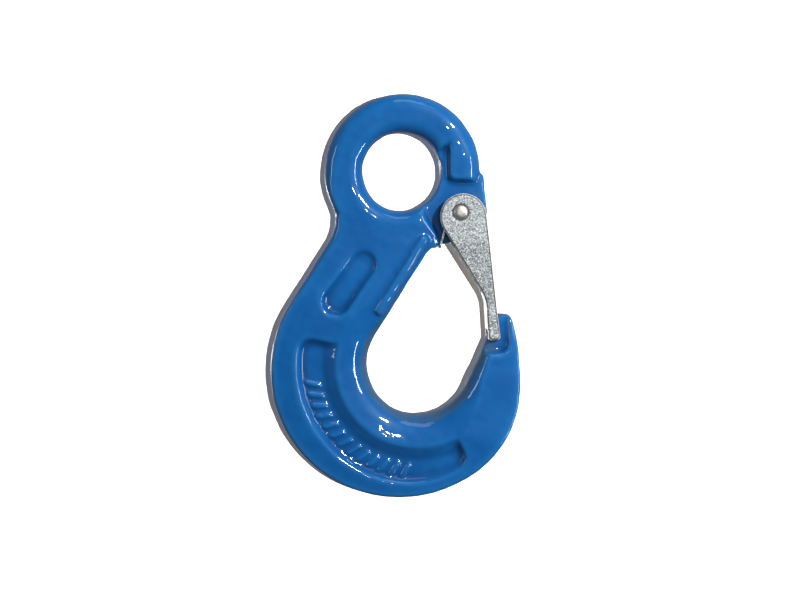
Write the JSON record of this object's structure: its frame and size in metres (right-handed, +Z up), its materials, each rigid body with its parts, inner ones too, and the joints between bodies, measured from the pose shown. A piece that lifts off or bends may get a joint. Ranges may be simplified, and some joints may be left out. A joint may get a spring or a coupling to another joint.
{
  "type": "eye sling hook with latch",
  "caption": "Forged eye sling hook: round eye, pocketed shank and bowl, and a sprung hinged latch that closes the throat onto the tip.",
  "frame": {"origin": "centre of the eye, on the parting plane", "axes": "+Z up along the line of load, +X from the back of the hook to its tip, -Y the front face"},
  "size_m": [0.112, 0.0248, 0.1804],
  "materials": {
    "enamel": "thick glossy blue enamel over forged steel",
    "zinc": "zinc plated casting with a fine sparkling grain",
    "pin_steel": "plated, polished dome",
    "spring_steel": "bright drawn wire"
  },
  "bodies": {
    "hook": {"hook_body": "enamel", "latch_pin": "pin_steel", "latch_spring": "spring_steel"},
    "latch": {"latch": "zinc"}
  },
  "joints": [
    {"name": "latch_hinge", "type": "hinge", "parent": "hook", "child": "latch", "pos_m": [0.02605, 0, -0.0177], "axis": [0, 1, 0], "range_deg": [0, 46], "stiffness_Nm_per_rad": 0.12, "springref_deg": -40.11, "deforming": ["latch_spring"]}
  ]
}
